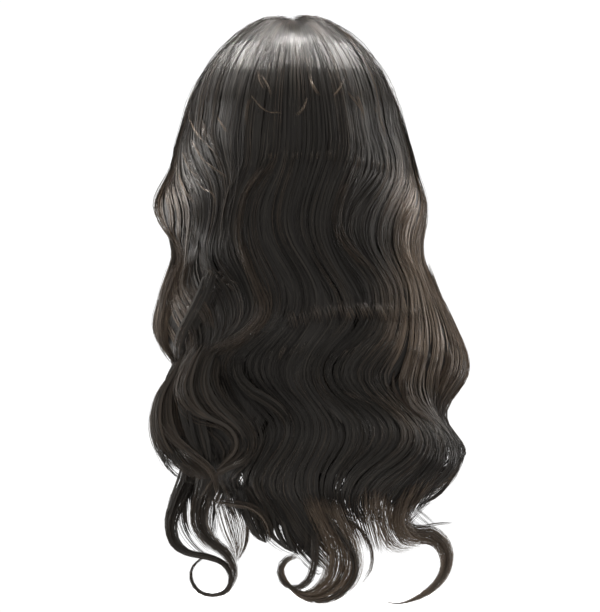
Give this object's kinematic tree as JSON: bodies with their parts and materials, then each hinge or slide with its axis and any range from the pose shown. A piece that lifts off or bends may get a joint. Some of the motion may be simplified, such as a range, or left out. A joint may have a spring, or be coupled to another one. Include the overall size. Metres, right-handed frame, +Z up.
{
  "type": "lace front wig",
  "caption": "Long wig of wavy dark hair with curled ends, on a stretch net cap with a lace front, open below and in front for the head.",
  "frame": {"origin": "the inside of the cap at the top of the head, where the wig rests on the wearer", "axes": "+Z up, +Y the way that the wearer faces, +X to the wearer's right, which is also the right of someone who stands behind the wig"},
  "size_m": [0.3227, 0.236, 0.591],
  "materials": {
    "hair": "satin strands",
    "net": "matte stretch net",
    "lace": "matte brown lace",
    "elastic": "matte woven elastic"
  },
  "bodies": {
    "root": {"cap_net": "net", "lace_front": "lace", "nape_band": "elastic", "ear_tab_left": "lace", "ear_tab_right": "lace", "left_temple_hair": "hair", "left_side_hair": "hair", "back_left_hair": "hair", "back_middle_hair": "hair", "back_right_hair": "hair", "right_side_hair": "hair", "right_temple_hair": "hair", "nape_hair": "hair"}
  },
  "joints": []
}
